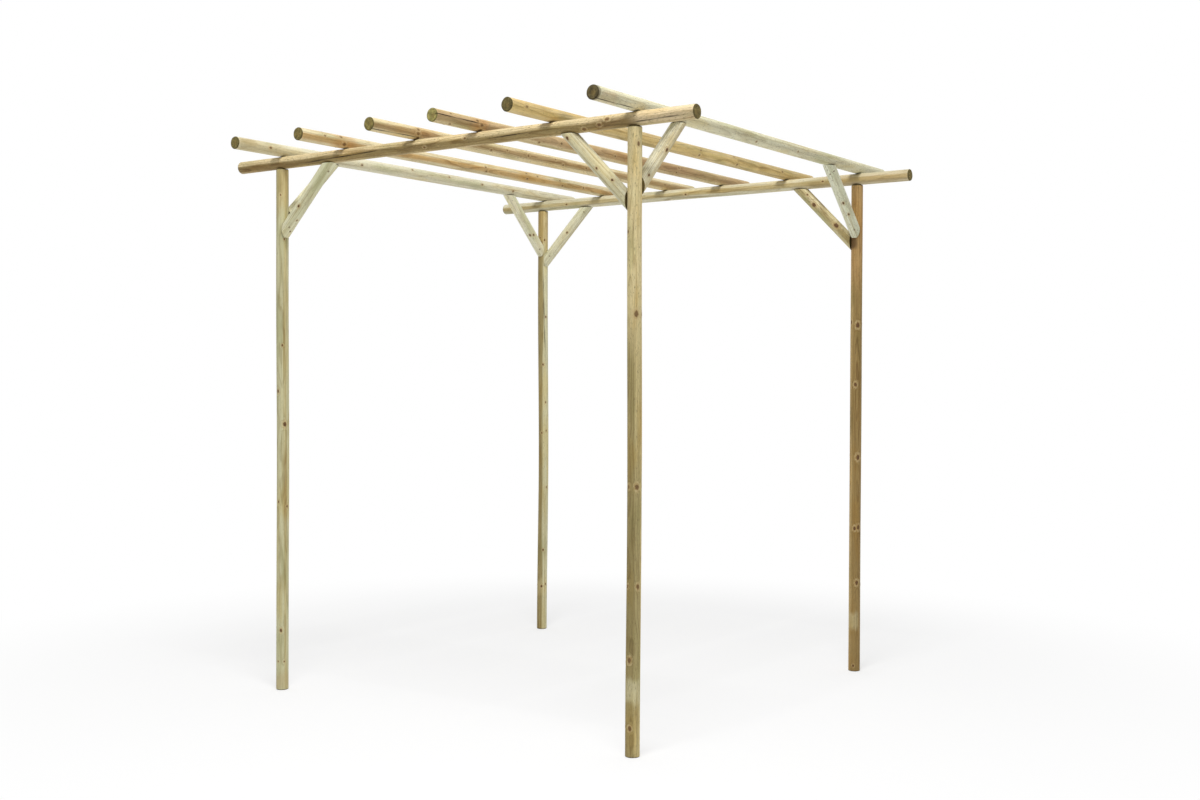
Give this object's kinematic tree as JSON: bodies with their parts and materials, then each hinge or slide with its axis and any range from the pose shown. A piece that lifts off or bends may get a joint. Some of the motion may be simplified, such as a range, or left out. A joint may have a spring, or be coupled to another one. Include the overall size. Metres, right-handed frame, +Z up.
{
  "type": "round-pole garden pergola",
  "caption": "Open garden pergola of round softwood poles: corner posts carry two beams on their flat tops, rafters cross the beams, and diagonal braces stiffen every corner.",
  "frame": {"origin": "on the floor, in the middle of the four posts", "axes": "+Z up, X along the two beams, Y along the rafters, front at -Y"},
  "size_m": [2.62, 2.62, 2.6182],
  "materials": {
    "pale_pine": "turned, pressure-treated pine with a pale green tint, matt",
    "tan_pine": "turned, pressure-treated pine, warm tan heartwood, matt",
    "olive_pine": "turned, pressure-treated pine with an olive tint, matt",
    "brown_pine": "turned, pressure-treated pine, brown heartwood with pale streaks, matt"
  },
  "bodies": {
    "root": {"post_front_left": "pale_pine", "post_front_right": "olive_pine", "post_rear_left": "brown_pine", "post_rear_right": "brown_pine", "beam_front": "tan_pine", "beam_rear": "pale_pine", "rafter_1": "pale_pine", "rafter_2": "tan_pine", "rafter_3": "tan_pine", "rafter_4": "tan_pine", "rafter_5": "olive_pine", "rafter_6": "olive_pine", "beam_brace_front_left": "pale_pine", "beam_brace_front_right": "pale_pine", "beam_brace_rear_left": "pale_pine", "beam_brace_rear_right": "brown_pine", "rafter_brace_front_left": "pale_pine", "rafter_brace_front_right": "pale_pine", "rafter_brace_rear_left": "pale_pine", "rafter_brace_rear_right": "pale_pine"}
  },
  "joints": []
}
